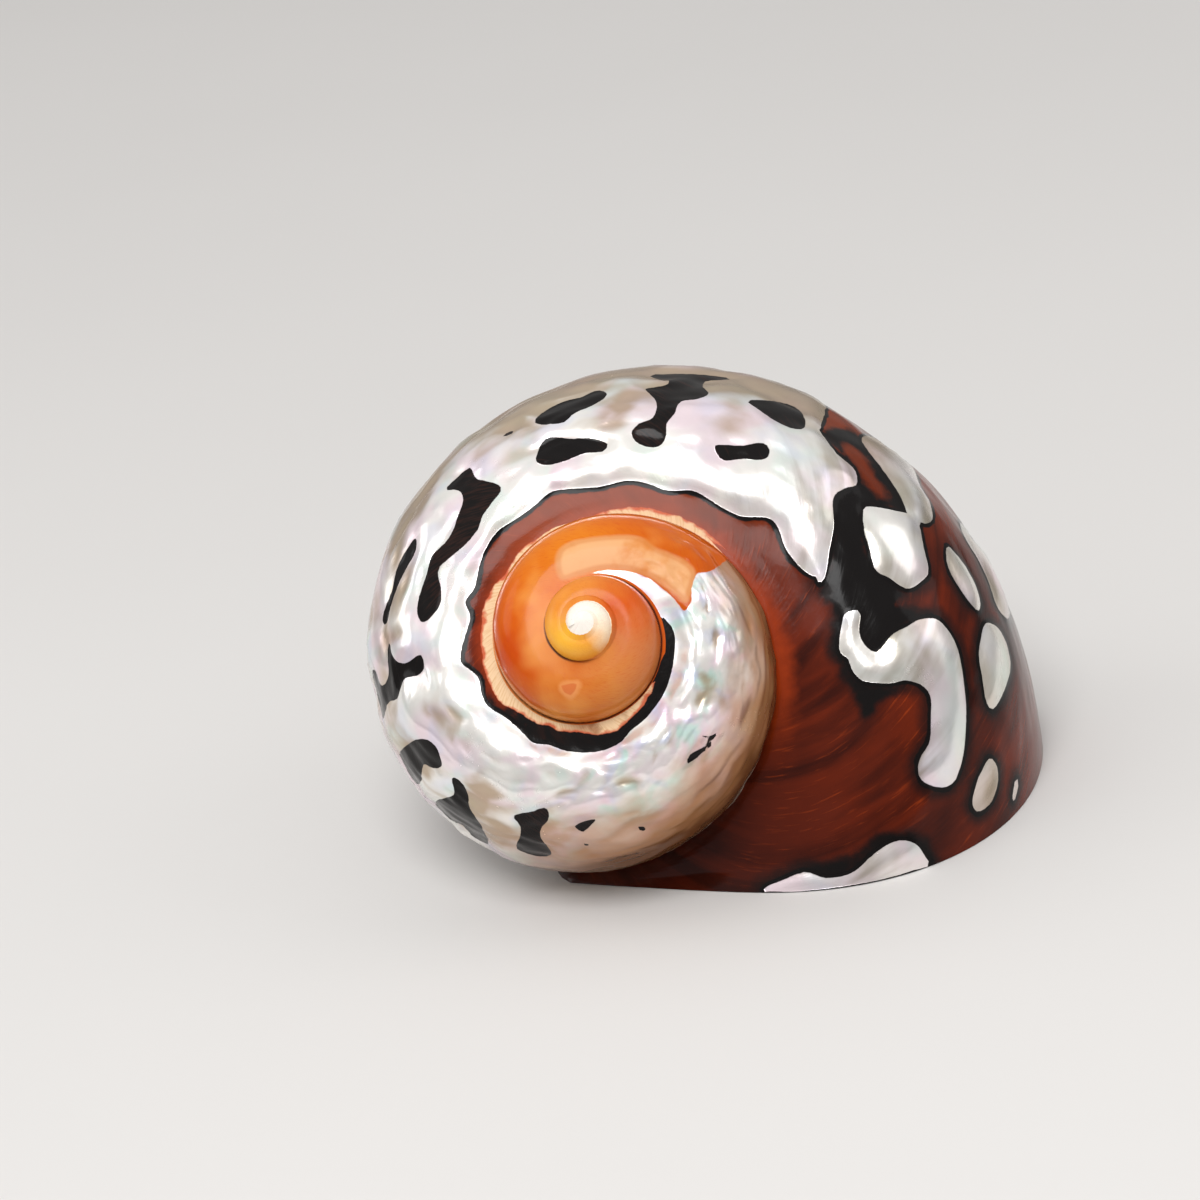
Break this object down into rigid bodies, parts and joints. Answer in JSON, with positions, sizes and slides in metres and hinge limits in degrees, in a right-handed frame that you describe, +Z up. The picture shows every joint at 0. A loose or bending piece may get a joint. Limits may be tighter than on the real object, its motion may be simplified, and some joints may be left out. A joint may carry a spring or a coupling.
{
  "type": "turban shell",
  "caption": "Polished turban sea shell with a low coiled spire, a swollen last whorl and a round open mouth, resting mouth down on its flat lip.",
  "frame": {"origin": "centre of the bounding box at the level of the ground lip", "axes": "+Z up from the surface the lip rests on, +X along the longest extent, the tip of the spire leaning towards -Y"},
  "size_m": [0.0844, 0.0668, 0.0565],
  "materials": {
    "shell": "polished, chestnut brown over pearl, orange at the spire"
  },
  "bodies": {
    "root": {"shell": "shell"}
  },
  "joints": []
}
